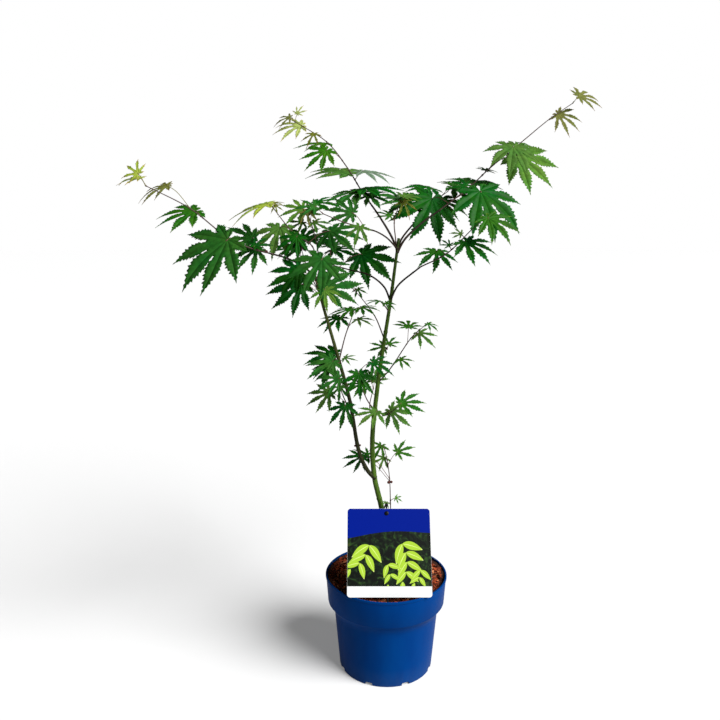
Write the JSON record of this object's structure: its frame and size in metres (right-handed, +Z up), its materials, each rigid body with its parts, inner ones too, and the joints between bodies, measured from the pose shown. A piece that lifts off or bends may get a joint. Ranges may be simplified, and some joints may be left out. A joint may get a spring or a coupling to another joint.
{
  "type": "potted japanese maple",
  "caption": "Young Japanese maple with two slender stems, long open boughs and fingered green leaves, growing in a round plastic nursery pot with a picture label.",
  "frame": {"origin": "middle of the pot's flat underside, on the floor", "axes": "+Z up, the way the plant grows; +X to the right as seen from the label's side; the label faces -Y"},
  "size_m": [0.6863, 0.3059, 0.8974],
  "materials": {
    "foliage": "thin green leaves on reddish stalks",
    "bough_bark": "smooth dark brown bark",
    "trunk_bark": "smooth olive green bark",
    "stem_bark": "smooth brown-black bark",
    "pot": "blue moulded plastic, satin",
    "soil": "chipped bark mulch over compost",
    "label": "coated printed card",
    "label_stake": "black nylon"
  },
  "bodies": {
    "root": {"back_bough": "bough_bark", "back_spray": "foliage", "far_left_bough": "bough_bark", "far_left_spray": "foliage", "foot_spray": "foliage", "inner_left_bough": "bough_bark", "inner_left_spray": "foliage", "label": "label", "label_stake": "label_stake", "left_back_spray": "foliage", "left_crown_spray": "foliage", "left_front_spray": "foliage", "left_stem": "stem_bark", "low_back_spray": "foliage", "low_left_spray": "foliage", "low_right_spray": "foliage", "lower_left_bough": "bough_bark", "lower_left_spray": "foliage", "lower_right_bough": "bough_bark", "lower_right_spray": "foliage", "mid_left_spray": "foliage", "mid_right_spray": "foliage", "pair_spray": "foliage", "pot": "pot", "red_twig_spray": "foliage", "right_bough": "bough_bark", "right_spray": "foliage", "short_spray": "foliage", "soil": "soil", "stem_back_spray": "foliage", "stem_front_spray": "foliage", "stem_low_spray": "foliage", "stem_up_spray": "foliage", "top_left_bough": "bough_bark", "top_left_spray": "foliage", "trunk": "trunk_bark", "upright_spray": "foliage"}
  },
  "joints": []
}
